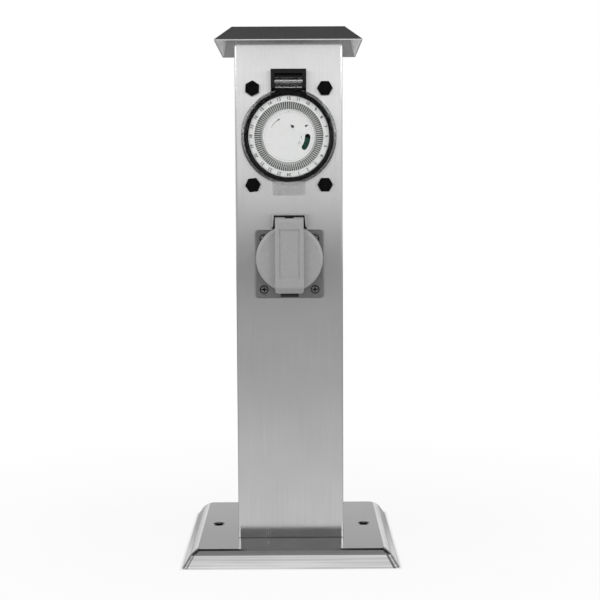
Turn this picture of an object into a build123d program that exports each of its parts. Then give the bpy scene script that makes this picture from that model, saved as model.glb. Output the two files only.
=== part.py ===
"""Garden socket post: a stainless column with a 24 hour timer and an earthed socket outlet.

Millimetres. The origin is the middle of the base's underside, +Z is up and the front looks along -Y.
"""

from build123d import *
import math
import os

# Base tray
base_half = 80.0
base_height = 12.0
base_sheet = 1.5
ground_hole_x = 57.5
ground_hole_radius = 3.4
ground_dent_radius = 5.2
ground_dent_depth = 0.9
cable_hole_radius = 14.0
foot_screw_pitch = 56.0

# Column and roof
column_side = 80.0
column_wall = 1.5
column_corner = 2.0
roof_side = 108.0
roof_top_side = 83.0
roof_bottom_z = 384.3
roof_skirt = 0.7
roof_height = 11.5
roof_sheet = 1.1
roof_screw_x = 20.0
roof_screw_z = 378.0

# Timer, with depths measured forwards from the column's axis
timer_z = 315.3
timer_hole_radius = 31.9
bezel_radius = 33.4
bezel_inner_radius = 30.4
bezel_front = 47.0
dial_radius = 30.0
dial_front = 45.2
dial_bore_radius = 19.4
groove_radius = 25.5
groove_floor = 43.8
tappet_count = 96
tappet_width = 0.85
tappet_travel = 1.8
tappet_inner_radius = dial_bore_radius + tappet_travel + 0.2
tappet_outer_radius = 25.3
face_radius = 19.2
dial_teeth = 72
pinion_teeth = 12
gear_module = 0.6
bolt_x = 26.8
bolt_z = 35.5
cover_radius = 35.2
cover_wall = 1.0
cover_front = 50.2
cover_sheet = 1.2
cover_pin_depth = 45.5
cover_pin_z = 355.6

# Socket outlet
socket_z = 221.0
well_z = 223.5
lid_z = 225.3
flange_side = 51.0
flange_front = 43.4
screw_pitch = 38.0
socket_hole_radius = 21.9
well_radius = 19.5
well_wall = 1.5
well_front = 47.5
well_depth = 17.5
contact_pitch = 19.0
contact_hole_radius = 2.6
lid_radius = 24.8
lid_front = 51.0
lid_sheet = 1.8
band_width = 21.0
band_front = 54.5
band_bottom_z = 199.6
lid_pin_depth = 50.1
lid_pin_z = 251.7
knuckle_radius = 4.4

# Fits shared by shafts, pins and holes
running_gap = 0.05
wall_front = column_side / 2
wall_back = wall_front - column_wall

dial_axis = Axis((0, 0, timer_z), (0, 1, 0))
lid_axis = Axis((0, 0, lid_z), (0, 1, 0))
bolt_places = [(x, z) for x in (-bolt_x, bolt_x) for z in (-bolt_z, bolt_z)]

os.makedirs("parts", exist_ok=True)


def front_plane(depth, z=0.0):
    """Plane facing the front, the given depth forwards of the column's axis."""
    return Plane(origin=(0, -depth, z), x_dir=(1, 0, 0), z_dir=(0, -1, 0))


def turned(z, profile):
    """Points of a lathe profile, given as (depth forwards, radius), about a line at height z."""
    return [(-depth, z + radius) for depth, radius in profile]


def polar(radius, degrees):
    """Point at a radius and an angle from +X."""
    angle = math.radians(degrees)
    return (radius * math.cos(angle), radius * math.sin(angle))


def gear_outline(teeth, root, tip, turn):
    """Closed outline of a gear with straight flanks, its first tooth at the angle turn."""
    pitch = 360.0 / teeth
    points = []
    for tooth in range(teeth):
        middle = turn + tooth * pitch
        points.append(polar(root, middle - 0.31 * pitch))
        points.append(polar(tip, middle - 0.11 * pitch))
        points.append(polar(tip, middle + 0.11 * pitch))
        points.append(polar(root, middle + 0.31 * pitch))
    return points


def keep(builder, name):
    """Label a finished sub-part and write its file."""
    builder.part.label = name
    export_step(builder.part, f"parts/{name}.step")


# Base tray, a pressed sheet: its steps, up the skirt, over the ridge and up the slope to the bend at the top,
# are (half side, height, corner radius)
tray_outside = [(base_half, 0, 5.0), (74.4, 8.4, 4.5), (73.2, 9.4, 4.2), (71.0, 11.0, 4.0), (69.0, base_height, 3.5)]
tray_inside = [(78.2, 0, 3.5), (72.9, 7.9, 3.0), (68.6, base_height - base_sheet, 2.5)]


def pan(steps):
    """Solid that joins squares with rounded corners, one at each step's height."""
    with BuildPart() as pressed:
        for step_pair in zip(steps, steps[1:]):
            for half, height, corner in step_pair:
                with BuildSketch(Plane.XY.offset(height)):
                    RectangleRounded(2 * half, 2 * half, corner)
            loft(ruled=True)
    return pressed.part


tray_solid = pan(tray_outside)
tray_hollow = pan(tray_inside)
with BuildPart() as base_plate:
    add(tray_solid)
    add(tray_hollow, mode=Mode.SUBTRACT)
    with BuildSketch(Plane.XY.offset(base_height)):
        with Locations((-ground_hole_x, 0), (ground_hole_x, 0)):
            Circle(ground_hole_radius)
        Circle(cable_hole_radius)
        with GridLocations(foot_screw_pitch, foot_screw_pitch, 2, 2):
            Circle(2.7)
    extrude(amount=-base_height, mode=Mode.SUBTRACT)
    with BuildSketch(Plane.XY.offset(base_height)):
        with Locations((-ground_hole_x, 0), (ground_hole_x, 0)):
            Circle(ground_dent_radius)
    extrude(amount=-ground_dent_depth, taper=60, mode=Mode.SUBTRACT)
keep(base_plate, "base_plate")

# Foot plate, welded into the column's foot and screwed down to the tray
foot_side = column_side - 2 * column_wall - 0.4
foot_thickness = 4.0
with BuildPart() as foot_plate:
    with BuildSketch(Plane.XY.offset(base_height)):
        RectangleRounded(foot_side, foot_side, 1.5)
        Circle(20, mode=Mode.SUBTRACT)
        with GridLocations(foot_screw_pitch, foot_screw_pitch, 2, 2):
            Circle(2.6, mode=Mode.SUBTRACT)
    extrude(amount=foot_thickness)
keep(foot_plate, "foot_plate")

foot_head_height = 3.2
with BuildPart() as foot_screws:
    with BuildSketch(Plane.XY.offset(base_height - base_sheet)):
        with GridLocations(foot_screw_pitch, foot_screw_pitch, 2, 2):
            Circle(4.6)
    extrude(amount=-foot_head_height)
    with BuildSketch(Plane.XY.offset(base_height - base_sheet)):
        with GridLocations(foot_screw_pitch, foot_screw_pitch, 2, 2):
            Circle(2.5)
    extrude(amount=base_sheet + foot_thickness + 2)
    with BuildSketch(Plane.XY.offset(base_height - base_sheet - foot_head_height)):
        with GridLocations(foot_screw_pitch, foot_screw_pitch, 2, 2):
            RegularPolygon(2.0, 6)
    extrude(amount=2, mode=Mode.SUBTRACT)
keep(foot_screws, "foot_screws")

# Rubber grommet that lines the cable hole in the tray
with BuildPart() as cable_grommet:
    with BuildSketch(Plane.XZ):
        with BuildLine():
            Polyline(
                (5.5, base_height - 5), (16.5, base_height - 4), (16.5, base_height - base_sheet),
                (13.9, base_height - base_sheet), (13.9, base_height), (17.5, base_height),
                (16.0, base_height + 2.5), (8.0, base_height + 3), (6.5, base_height + 9),
                (5.5, base_height + 9), close=True,
            )
        make_face()
    revolve(axis=Axis.Z)
keep(cable_grommet, "cable_grommet")

# Column, a square tube cut for the timer, the socket and their fasteners
column_top = roof_bottom_z + roof_height - roof_sheet
with BuildPart() as column:
    with BuildSketch(Plane.XY.offset(base_height)):
        RectangleRounded(column_side, column_side, column_corner)
        inner_side = column_side - 2 * column_wall
        RectangleRounded(inner_side, inner_side, 0.6, mode=Mode.SUBTRACT)
    extrude(amount=column_top - base_height)
    with BuildSketch(front_plane(wall_front, timer_z)):
        Circle(timer_hole_radius)
        with Locations(*bolt_places):
            Circle(3.2)
    extrude(amount=-column_wall, mode=Mode.SUBTRACT)
    with BuildSketch(front_plane(wall_front)):
        with Locations((0, well_z)):
            Circle(socket_hole_radius)
        with Locations((0, socket_z)):
            with GridLocations(screw_pitch, screw_pitch, 2, 2):
                Circle(1.8)
    extrude(amount=-column_wall, mode=Mode.SUBTRACT)
    with BuildSketch(front_plane(-wall_front)):
        with Locations((-roof_screw_x, roof_screw_z), (roof_screw_x, roof_screw_z)):
            Circle(2.1)
    extrude(amount=column_wall, mode=Mode.SUBTRACT)
keep(column, "column")

# Roof, a hollow hipped sheet cap, and the sleeve under it that slips into the column
roof_run = (roof_side - roof_top_side) / 2
roof_rise = roof_height - roof_skirt
with BuildPart() as roof_cap:
    with BuildSketch(Plane.XY.offset(roof_bottom_z)):
        Rectangle(roof_side, roof_side)
    extrude(amount=roof_skirt)
    with BuildSketch(Plane.XY.offset(roof_bottom_z + roof_skirt)):
        Rectangle(roof_side, roof_side)
    extrude(amount=roof_rise, taper=math.degrees(math.atan2(roof_run, roof_rise)))
    offset(amount=-roof_sheet, openings=roof_cap.faces().sort_by(Axis.Z)[0])
keep(roof_cap, "roof_cap")

collar_height = 22.0
roof_screw_places = [(-roof_screw_x, roof_screw_z), (roof_screw_x, roof_screw_z)]
roof_head_height = 2.2
with BuildPart() as roof_collar:
    with BuildSketch(Plane.XY.offset(column_top)):
        RectangleRounded(foot_side, foot_side, 1.5)
        RectangleRounded(foot_side - 3, foot_side - 3, 0.5, mode=Mode.SUBTRACT)
    extrude(amount=-collar_height)
    with BuildSketch(front_plane(-wall_front)):
        with Locations(*roof_screw_places):
            Circle(2.1)
    extrude(amount=column_wall + 3, mode=Mode.SUBTRACT)
keep(roof_collar, "roof_collar")

with BuildPart() as roof_screws:
    with BuildSketch(front_plane(-wall_front)):
        with Locations(*roof_screw_places):
            Circle(3.8)
    extrude(amount=-roof_head_height)
    chamfer(roof_screws.faces().sort_by(Axis.Y)[-2:].edges(), length=0.6)
    with BuildSketch(front_plane(-wall_front)):
        with Locations(*roof_screw_places):
            Circle(1.9)
    extrude(amount=6)
    with BuildSketch(front_plane(-wall_front - roof_head_height)):
        with Locations(*roof_screw_places):
            RegularPolygon(1.6, 6)
    extrude(amount=1.4, mode=Mode.SUBTRACT)
keep(roof_screws, "roof_screws")

# Supply terminals on a bracket that stands on the foot plate
bracket_y = 22.0
bracket_width = 44.0
bracket_height = 62.0
bracket_foot_z = base_height + foot_thickness
with BuildPart() as terminal_bracket:
    with BuildSketch(Plane.YZ):
        with BuildLine():
            Polyline(
                (bracket_y, bracket_foot_z), (bracket_y + 14, bracket_foot_z),
                (bracket_y + 14, bracket_foot_z + 2), (bracket_y + 2, bracket_foot_z + 2),
                (bracket_y + 2, bracket_foot_z + bracket_height),
                (bracket_y, bracket_foot_z + bracket_height), close=True,
            )
        make_face()
    extrude(amount=bracket_width / 2, both=True)
keep(terminal_bracket, "terminal_bracket")

block_depth = 16.0
block_z = bracket_foot_z + 40
with BuildPart() as terminal_block:
    with BuildSketch(front_plane(-bracket_y, block_z)):
        RectangleRounded(38, 22, 1.5)
    extrude(amount=block_depth)
    with BuildSketch(Plane.XY.offset(block_z - 11)):
        with Locations((0, bracket_y - 6)):
            with GridLocations(12, 0, 3, 1):
                Circle(2.2)
    extrude(amount=22, mode=Mode.SUBTRACT)
    with BuildSketch(front_plane(block_depth - bracket_y, block_z)):
        with GridLocations(12, 11, 3, 2):
            Circle(2.4)
    extrude(amount=-6, mode=Mode.SUBTRACT)
keep(terminal_block, "terminal_block")

with BuildPart() as terminal_screws:
    with BuildSketch(front_plane(block_depth - bracket_y - 2, block_z)):
        with GridLocations(12, 11, 3, 2):
            Circle(2.2)
            Rectangle(5, 0.8, mode=Mode.SUBTRACT)
    extrude(amount=-1)
    with BuildSketch(front_plane(block_depth - bracket_y - 3, block_z)):
        with GridLocations(12, 11, 3, 2):
            Circle(2.2)
    extrude(amount=-3)
keep(terminal_screws, "terminal_screws")

# Timer gasket and housing behind the front wall, with the cup that shows through it
gasket_thickness = 0.8
mount_front = wall_back - gasket_thickness
mount_back = mount_front - 2.5
mount_width = 68.0
mount_height = 82.0
cup_radius = 31.5
cup_bore_radius = 30.5
cup_front = 46.3
box_width = 64.0
box_height = 58.0
box_back = 8.0
with BuildPart() as timer_gasket:
    with BuildSketch(front_plane(wall_back, timer_z)):
        RectangleRounded(mount_width, mount_height, 3)
        Circle(timer_hole_radius, mode=Mode.SUBTRACT)
        with Locations(*bolt_places):
            Circle(3.2, mode=Mode.SUBTRACT)
    extrude(amount=-gasket_thickness)
keep(timer_gasket, "timer_gasket")

with BuildPart() as timer_housing:
    with BuildSketch(front_plane(mount_front, timer_z)):
        RectangleRounded(mount_width, mount_height, 3)
        Rectangle(54, 54, mode=Mode.SUBTRACT)
        with Locations(*bolt_places):
            Circle(3.2, mode=Mode.SUBTRACT)
    extrude(amount=mount_back - mount_front)
    with BuildSketch(front_plane(mount_front, timer_z)):
        Circle(cup_radius)
        Circle(cup_bore_radius, mode=Mode.SUBTRACT)
    extrude(amount=cup_front - mount_front)
    with BuildSketch(front_plane(mount_back, timer_z)):
        RectangleRounded(box_width, box_height, 2.5)
        RectangleRounded(box_width - 4, box_height - 4, 1, mode=Mode.SUBTRACT)
    extrude(amount=box_back - mount_back)
keep(timer_housing, "timer_housing")

# Movement plate in the cup's floor, with the drum that the dial turns on
plate_front = mount_front + 2.0
drum_front = 44.6
pitch_radius = gear_module * dial_teeth / 2
pinion_pitch_radius = gear_module * pinion_teeth / 2
pinion_z = -(pitch_radius + pinion_pitch_radius)
trip_z = 10.0
with BuildPart() as movement_plate:
    with BuildSketch(front_plane(mount_front, timer_z)):
        Circle(cup_bore_radius - 0.2)
        with Locations((0, pinion_z)):
            Circle(1.0 + running_gap, mode=Mode.SUBTRACT)
        with Locations((0, trip_z)):
            Rectangle(3.8, 4.6, mode=Mode.SUBTRACT)
    extrude(amount=plate_front - mount_front)
    with BuildSketch(front_plane(plate_front, timer_z)):
        Circle(dial_bore_radius - running_gap)
        Circle(17.6, mode=Mode.SUBTRACT)
    extrude(amount=drum_front - plate_front)
    with BuildSketch(front_plane(drum_front, timer_z)):
        with Locations((0, 18.5)):
            Rectangle(3.8, 4)
    extrude(amount=-1.4, mode=Mode.SUBTRACT)
keep(movement_plate, "movement_plate")

# Dial ring, with the tappet groove in front and gear teeth behind
gear_front = 42.6
gear_back = 40.0
dial_root = pitch_radius - 1.35 * gear_module
dial_tip = pitch_radius + 0.85 * gear_module
with BuildPart() as dial_ring:
    with BuildSketch(Plane.YZ):
        with BuildLine():
            Polyline(
                *turned(timer_z, [
                    (gear_front, dial_radius), (dial_front - 0.4, dial_radius),
                    (dial_front, dial_radius - 0.4), (dial_front, groove_radius),
                    (groove_floor, groove_radius), (groove_floor, dial_bore_radius),
                    (gear_front, dial_bore_radius),
                ]),
                close=True,
            )
        make_face()
    revolve(axis=dial_axis)
    with BuildSketch(front_plane(gear_front, timer_z)):
        with BuildLine():
            Polyline(*gear_outline(dial_teeth, dial_root, dial_tip, 0.0), close=True)
        make_face()
        Circle(dial_bore_radius, mode=Mode.SUBTRACT)
    extrude(amount=gear_back - gear_front)
keep(dial_ring, "dial_ring")

# Tappets, one for each quarter of an hour, all pushed out; four of them are shown sliding on their own
tappet_step = 360.0 / tappet_count
loose_tappets = 4
first_loose_angle = 90.0 + 1.5 * tappet_step


def tappet_outline(angle):
    """Corners of one tappet, a narrow bar that tapers inwards, lying along the radius at angle."""
    half_outer = math.degrees(tappet_width / 2 / tappet_outer_radius)
    half_inner = math.degrees(0.7 * tappet_width / 2 / tappet_inner_radius)
    return [
        polar(tappet_inner_radius, angle - half_inner), polar(tappet_outer_radius, angle - half_outer),
        polar(tappet_outer_radius, angle + half_outer), polar(tappet_inner_radius, angle + half_inner),
    ]


with BuildPart() as dial_tappets:
    with BuildSketch(front_plane(groove_floor, timer_z)):
        for index in range(loose_tappets, tappet_count):
            with BuildLine():
                Polyline(*tappet_outline(first_loose_angle - index * tappet_step), close=True)
            make_face()
    extrude(amount=1.5)
keep(dial_tappets, "dial_tappets")

for index in range(loose_tappets):
    with BuildPart() as tappet:
        with BuildSketch(front_plane(groove_floor, timer_z)):
            with BuildLine():
                Polyline(*tappet_outline(first_loose_angle - index * tappet_step), close=True)
            make_face()
        extrude(amount=1.5)
    keep(tappet, f"tappet_{index + 1}")

# Still face of the timer with the curved slot of the override switch
face_front = 45.4
slot_radius = 13.9
slot_width = 4.0
slot_low = -34.8
slot_high = -0.2
slider_high = -14.2


def arc_slot(radius, low, high):
    """Arc about the dial's axis from the low angle to the high one."""
    middle = (low + high) / 2
    return ThreePointArc(polar(radius, low), polar(radius, middle), polar(radius, high))


slot_line = arc_slot(slot_radius, slot_low, slot_high)
slider_line = arc_slot(slot_radius, slot_low, slider_high)
with BuildPart() as face_disc:
    with BuildSketch(front_plane(drum_front, timer_z)):
        Circle(face_radius)
        SlotArc(slot_line, slot_width, mode=Mode.SUBTRACT)
    extrude(amount=face_front - drum_front)
keep(face_disc, "face_disc")

with BuildPart() as override_slider:
    with BuildSketch(front_plane(drum_front - 0.05, timer_z)):
        SlotArc(slider_line, slot_width - 0.4)
    extrude(amount=face_front + 0.1 - drum_front)
    with BuildSketch(front_plane(drum_front - 0.05, timer_z)):
        SlotArc(slider_line, slot_width + 1.6)
    extrude(amount=-1.0)
    with BuildSketch(front_plane(face_front + 0.05, timer_z)):
        for rib in range(4):
            with Locations(polar(slot_radius, slot_low + 1 + 6 * rib)):
                Circle(0.7)
    extrude(amount=0.4)
keep(override_slider, "override_slider")

# Trip slide, which a pushed in tappet presses towards the switch
with BuildPart() as trip_slide:
    with BuildSketch(front_plane(drum_front - 0.2, timer_z)):
        with Locations((0, (trip_z + 19.3) / 2)):
            Rectangle(3.0, 19.3 - trip_z)
    extrude(amount=-1.0)
    with BuildSketch(front_plane(drum_front - 1.2, timer_z)):
        with Locations((0, trip_z + 0.75)):
            Rectangle(3.0, 1.5)
    extrude(amount=-10.0)
keep(trip_slide, "trip_slide")

# Pinion that drives the dial, its tooth spaces facing the dial's teeth
pinion_root = pinion_pitch_radius - 1.35 * gear_module
pinion_tip = pinion_pitch_radius + 0.85 * gear_module
with BuildPart() as drive_pinion:
    with BuildSketch(front_plane(gear_front - 0.2, timer_z + pinion_z)):
        with BuildLine():
            Polyline(*gear_outline(pinion_teeth, pinion_root, pinion_tip, 105.0), close=True)
        make_face()
    extrude(amount=gear_back - gear_front + 0.4)
    with BuildSketch(front_plane(gear_back + 0.2, timer_z + pinion_z)):
        Circle(1.0)
    extrude(amount=-8.0)
keep(drive_pinion, "drive_pinion")

# Synchronous motor with its gearbox, and the switch, all behind the movement plate
with BuildPart() as timer_motor:
    with BuildSketch(front_plane(34.8, timer_z - 18.7)):
        RectangleRounded(20, 16.4, 1.5)
        with Locations((0, pinion_z + 18.7)):
            Circle(1.0 + running_gap, mode=Mode.SUBTRACT)
    extrude(amount=-3.3)
    with BuildSketch(front_plane(31.5, timer_z - 4)):
        Circle(21)
    extrude(amount=-17)
    fillet(timer_motor.faces().sort_by(Axis.Y)[-1].edges(), radius=1.5)
keep(timer_motor, "timer_motor")

with BuildPart() as micro_switch:
    with BuildSketch(front_plane(mount_front, timer_z + 2)):
        RectangleRounded(20, 10, 0.8)
        with Locations((-6.5, 0), (6.5, 0)):
            Circle(1.2, mode=Mode.SUBTRACT)
    extrude(amount=-5.6)
    with BuildSketch(front_plane(mount_front - 1.6, timer_z + 7.9)):
        Rectangle(2.6, 1.8)
    extrude(amount=-2.4)
keep(micro_switch, "micro_switch")

with BuildPart() as timer_back_cover:
    with BuildSketch(front_plane(box_back, timer_z)):
        RectangleRounded(box_width, box_height, 2.5)
        with GridLocations(14, 0, 4, 1):
            Rectangle(6.7, 1.2, mode=Mode.SUBTRACT)
    extrude(amount=-2.0)
keep(timer_back_cover, "timer_back_cover")

with BuildPart() as timer_terminals:
    with BuildSketch(front_plane(box_back + 4, timer_z)):
        with GridLocations(14, 0, 4, 1):
            Rectangle(6.3, 0.8)
    extrude(amount=-16.0)
keep(timer_terminals, "timer_terminals")

# Bezel ring around the cup
with BuildPart() as timer_bezel:
    with BuildSketch(Plane.YZ):
        with BuildLine():
            Polyline(
                *turned(timer_z, [
                    (wall_front, bezel_radius), (bezel_front - 1.2, bezel_radius),
                    (bezel_front - 0.3, bezel_radius - 0.4), (bezel_front, bezel_radius - 1.2),
                    (bezel_front - 0.1, bezel_inner_radius + 0.3), (cup_front, bezel_inner_radius),
                    (cup_front, cup_radius + 0.1), (wall_front, cup_radius + 0.1),
                ]),
                close=True,
            )
        make_face()
    revolve(axis=dial_axis)
keep(timer_bezel, "timer_bezel")

# Hexagon bolts through the front wall, each stopped at its own angle, and their nuts
bolt_turns = [6.0, 27.0, 0.0, 0.0]
hexagon_radius = 5.77
bolt_head = 4.2
with BuildPart() as timer_bolts:
    with BuildSketch(front_plane(wall_front, timer_z)):
        for (x, z), turn in zip(bolt_places, bolt_turns):
            with Locations((x, z)):
                RegularPolygon(hexagon_radius, 6, rotation=turn)
    extrude(amount=bolt_head)
    for x, z in bolt_places:
        with BuildSketch(Plane.YZ.offset(x)):
            with BuildLine():
                Polyline(
                    *turned(timer_z + z, [
                        (wall_front + bolt_head, hexagon_radius - 1.0),
                        (wall_front + bolt_head + 0.2, hexagon_radius + 0.4),
                        (wall_front + bolt_head - 0.8, hexagon_radius + 0.4),
                    ]),
                    close=True,
                )
            make_face()
        revolve(axis=Axis((x, 0, timer_z + z), (0, 1, 0)), mode=Mode.SUBTRACT)
    with BuildSketch(front_plane(wall_front, timer_z)):
        with Locations(*bolt_places):
            Circle(2.9)
    extrude(amount=-12.0)
keep(timer_bolts, "timer_bolts")

with BuildPart() as timer_nuts:
    with BuildSketch(front_plane(mount_back, timer_z)):
        with Locations(*bolt_places):
            RegularPolygon(hexagon_radius, 6)
            Circle(3.0, mode=Mode.SUBTRACT)
    extrude(amount=-5.0)
keep(timer_nuts, "timer_nuts")

# Hinge bracket of the timer cover: a block over the bezel with a window for the knuckle
bracket_half = 13.0
window_half = 10.2
bracket_top_z = 364.2
bracket_front = 50.5
bracket_low_z = 342.0
window_low_z = 349.8
window_high_z = 361.0
cheek_radius = 7.1
with BuildPart() as cover_hinge_bracket:
    with BuildSketch(Plane.YZ):
        with Locations((-cover_pin_depth, cover_pin_z)):
            Circle(cheek_radius)
        with BuildLine():
            Polyline(
                (-wall_front, bracket_top_z), (-bracket_front, bracket_top_z),
                (-bracket_front, cover_pin_z), (-cover_pin_depth, cover_pin_z),
                (-cover_pin_depth, 349.5), (-bezel_front, 349.5), (-bezel_front, bracket_low_z),
                (-wall_front, bracket_low_z), close=True,
            )
        make_face()
        with BuildLine():
            Polyline(
                (-bracket_front, bracket_low_z), (-wall_front, bracket_low_z),
                (-wall_front, bracket_top_z), (-bracket_front, bracket_top_z), close=True,
            )
        make_face(mode=Mode.INTERSECT)
    extrude(amount=bracket_half, both=True)
    with BuildSketch(front_plane(wall_front + 2)):
        with Locations((0, (window_low_z + window_high_z) / 2)):
            Rectangle(2 * window_half, window_high_z - window_low_z)
    extrude(amount=bracket_front - wall_front, mode=Mode.SUBTRACT)
    with BuildSketch(front_plane(bezel_front + 0.3)):
        with Locations((0, (bracket_low_z + window_high_z) / 2)):
            Rectangle(2 * window_half, window_high_z - bracket_low_z)
    extrude(amount=bracket_front - bezel_front, mode=Mode.SUBTRACT)
    with BuildSketch(front_plane(wall_front, timer_z)):
        Circle(bezel_radius + 0.05)
    extrude(amount=12, mode=Mode.SUBTRACT)
    with BuildSketch(Plane.YZ.offset(-bracket_half)):
        with Locations((-cover_pin_depth, cover_pin_z)):
            Circle(1.2 + running_gap)
    extrude(amount=2 * bracket_half, mode=Mode.SUBTRACT)
keep(cover_hinge_bracket, "cover_hinge_bracket")

with BuildPart() as cover_hinge_pin:
    with BuildSketch(Plane.YZ.offset(-bracket_half + 0.2)):
        with Locations((-cover_pin_depth, cover_pin_z)):
            Circle(1.2)
    extrude(amount=2 * bracket_half - 0.4)
keep(cover_hinge_pin, "cover_hinge_pin")

# Clear timer cover: a shallow cup with a finger tab below and a hinge neck above
cover_back = wall_front + 0.3
with BuildPart() as timer_cover:
    with BuildSketch(Plane.YZ):
        with BuildLine():
            Polyline(
                *turned(timer_z, [
                    (cover_back, cover_radius), (cover_front - 1.6, cover_radius),
                    (cover_front - 0.5, cover_radius - 0.5), (cover_front, cover_radius - 1.6),
                    (cover_front, 0), (cover_front - cover_sheet, 0),
                    (cover_front - cover_sheet, cover_radius - cover_wall),
                    (cover_back, cover_radius - cover_wall),
                ]),
                close=True,
            )
        make_face()
    revolve(axis=dial_axis)
    with BuildSketch(front_plane(cover_front - cover_sheet, 0)):
        with Locations((0, 350)):
            Rectangle(2 * bracket_half + 0.8, 30)
    extrude(amount=-20, mode=Mode.SUBTRACT)
    with BuildSketch(Plane.YZ.offset(-40)):
        with BuildLine():
            Polyline((-38, 332), (-cover_back, 332), (-45.2, 352), (-38, 352), close=True)
        make_face()
    extrude(amount=80, mode=Mode.SUBTRACT)
    with BuildSketch(Plane.YZ.offset(-window_half + 0.4)):
        with BuildLine():
            Polyline(
                (-cover_front, 346), (-cover_front, 352.6), (-46.8, 357.6), (-44.0, 353.5),
                (-cover_front + cover_sheet, 350.5), (-cover_front + cover_sheet, 346), close=True,
            )
        make_face()
        with Locations((-cover_pin_depth, cover_pin_z)):
            Circle(2.6)
    extrude(amount=2 * window_half - 0.8)
    with BuildSketch(Plane.YZ.offset(-window_half)):
        with Locations((-cover_pin_depth, cover_pin_z)):
            Circle(1.2 + running_gap)
    extrude(amount=2 * window_half, mode=Mode.SUBTRACT)
    with BuildSketch(front_plane(cover_front - 1.8, 276.8)):
        RectangleRounded(24, 9, 1.2)
        with Locations((0, 3)):
            Rectangle(24, 5)
    extrude(amount=1.8)
    with BuildSketch(front_plane(cover_front, 273.2)):
        Rectangle(20, 1.2)
    extrude(amount=0.8)
keep(timer_cover, "timer_cover")

# Socket gasket, and the housing with its flange and hinge frame
socket_gasket_thickness = 0.8
flange_back = wall_front + socket_gasket_thickness
collar_radius = well_radius + well_wall
housing_back = 20.0
with BuildPart() as socket_gasket:
    with BuildSketch(front_plane(wall_front)):
        with Locations((0, socket_z)):
            RectangleRounded(flange_side - 0.8, flange_side - 0.8, 2.2)
            with GridLocations(screw_pitch, screw_pitch, 2, 2):
                Circle(1.9, mode=Mode.SUBTRACT)
        with Locations((0, well_z)):
            Circle(socket_hole_radius, mode=Mode.SUBTRACT)
    extrude(amount=socket_gasket_thickness)
keep(socket_gasket, "socket_gasket")

frame_low_z = 243.0
frame_top_z = 258.2
frame_half_top = 12.3
frame_half_bottom = 13.5
frame_bar = 0.8
cheek = 1.0
pocket_half = band_width / 2 + 0.4
notch_width = 13.4
notch_low_z = 197.9
notch_high_z = 201.4
screw_seat = flange_front - 1.9
with BuildPart() as socket_housing:
    with BuildSketch(front_plane(flange_back)):
        with Locations((0, socket_z)):
            RectangleRounded(flange_side, flange_side, 2.5)
    extrude(amount=flange_front - flange_back)
    chamfer(socket_housing.faces().sort_by(Axis.Y)[0].edges(), length=0.8)
    with BuildSketch(front_plane(flange_back)):
        with BuildLine():
            Polyline(
                (-frame_half_bottom, frame_low_z), (frame_half_bottom, frame_low_z),
                (frame_half_top, frame_top_z), (-frame_half_top, frame_top_z), close=True,
            )
        make_face()
    extrude(amount=lid_pin_depth + 2.4 - flange_back)
    with BuildSketch(Plane.YZ.offset(-20)):
        with BuildLine():
            Polyline(
                (-44.9, 240), (-60, 240), (-60, lid_pin_z), (-lid_pin_depth, lid_pin_z),
                (-lid_pin_depth + 2.6, lid_pin_z - 3.4), (-44.9, lid_pin_z - 3.6), close=True,
            )
        make_face()
        with Locations((-lid_pin_depth, lid_pin_z)):
            Circle(3.5, mode=Mode.SUBTRACT)
    extrude(amount=40, mode=Mode.SUBTRACT)
    with BuildSketch(front_plane(flange_front)):
        with BuildLine():
            Polyline(
                (cheek - frame_half_bottom, frame_low_z), (frame_half_bottom - cheek, frame_low_z),
                (frame_half_top - cheek, frame_top_z - frame_bar),
                (cheek - frame_half_top, frame_top_z - frame_bar), close=True,
            )
        make_face()
    extrude(amount=20, mode=Mode.SUBTRACT)
    with BuildSketch(front_plane(flange_front)):
        with Locations((0, (notch_low_z + notch_high_z) / 2)):
            RectangleRounded(notch_width, notch_high_z - notch_low_z, 0.6)
    extrude(amount=-1.6, mode=Mode.SUBTRACT)
    with BuildSketch(front_plane(flange_back, well_z)):
        Circle(collar_radius + running_gap)
    extrude(amount=well_front - flange_back, mode=Mode.SUBTRACT)
    with BuildSketch(Plane.YZ.offset(-20)):
        with Locations((-lid_pin_depth, lid_pin_z)):
            Circle(1.1 + running_gap)
    extrude(amount=40, mode=Mode.SUBTRACT)
    with BuildSketch(front_plane(flange_front, socket_z)):
        with GridLocations(screw_pitch, screw_pitch, 2, 2):
            Circle(1.9)
    extrude(amount=-4, mode=Mode.SUBTRACT)
    with BuildSketch(front_plane(flange_front, socket_z)):
        with GridLocations(screw_pitch, screw_pitch, 2, 2):
            Circle(3.5)
    extrude(amount=screw_seat - flange_front, mode=Mode.SUBTRACT)
keep(socket_housing, "socket_housing")

# Tube of the well, pushed through the flange from behind up to its shoulder
shoulder_radius = collar_radius + 0.7
shoulder_back = flange_back - 2.0
with BuildPart() as socket_well:
    with BuildSketch(Plane.YZ):
        with BuildLine():
            Polyline(
                *turned(well_z, [
                    (well_front, well_radius), (well_front, collar_radius),
                    (flange_back, collar_radius), (flange_back, shoulder_radius),
                    (shoulder_back, shoulder_radius), (shoulder_back, collar_radius),
                    (housing_back, collar_radius), (housing_back, well_radius),
                ]),
                close=True,
            )
        make_face()
    revolve(axis=Axis((0, 0, well_z), (0, 1, 0)))
keep(socket_well, "socket_well")

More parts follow.
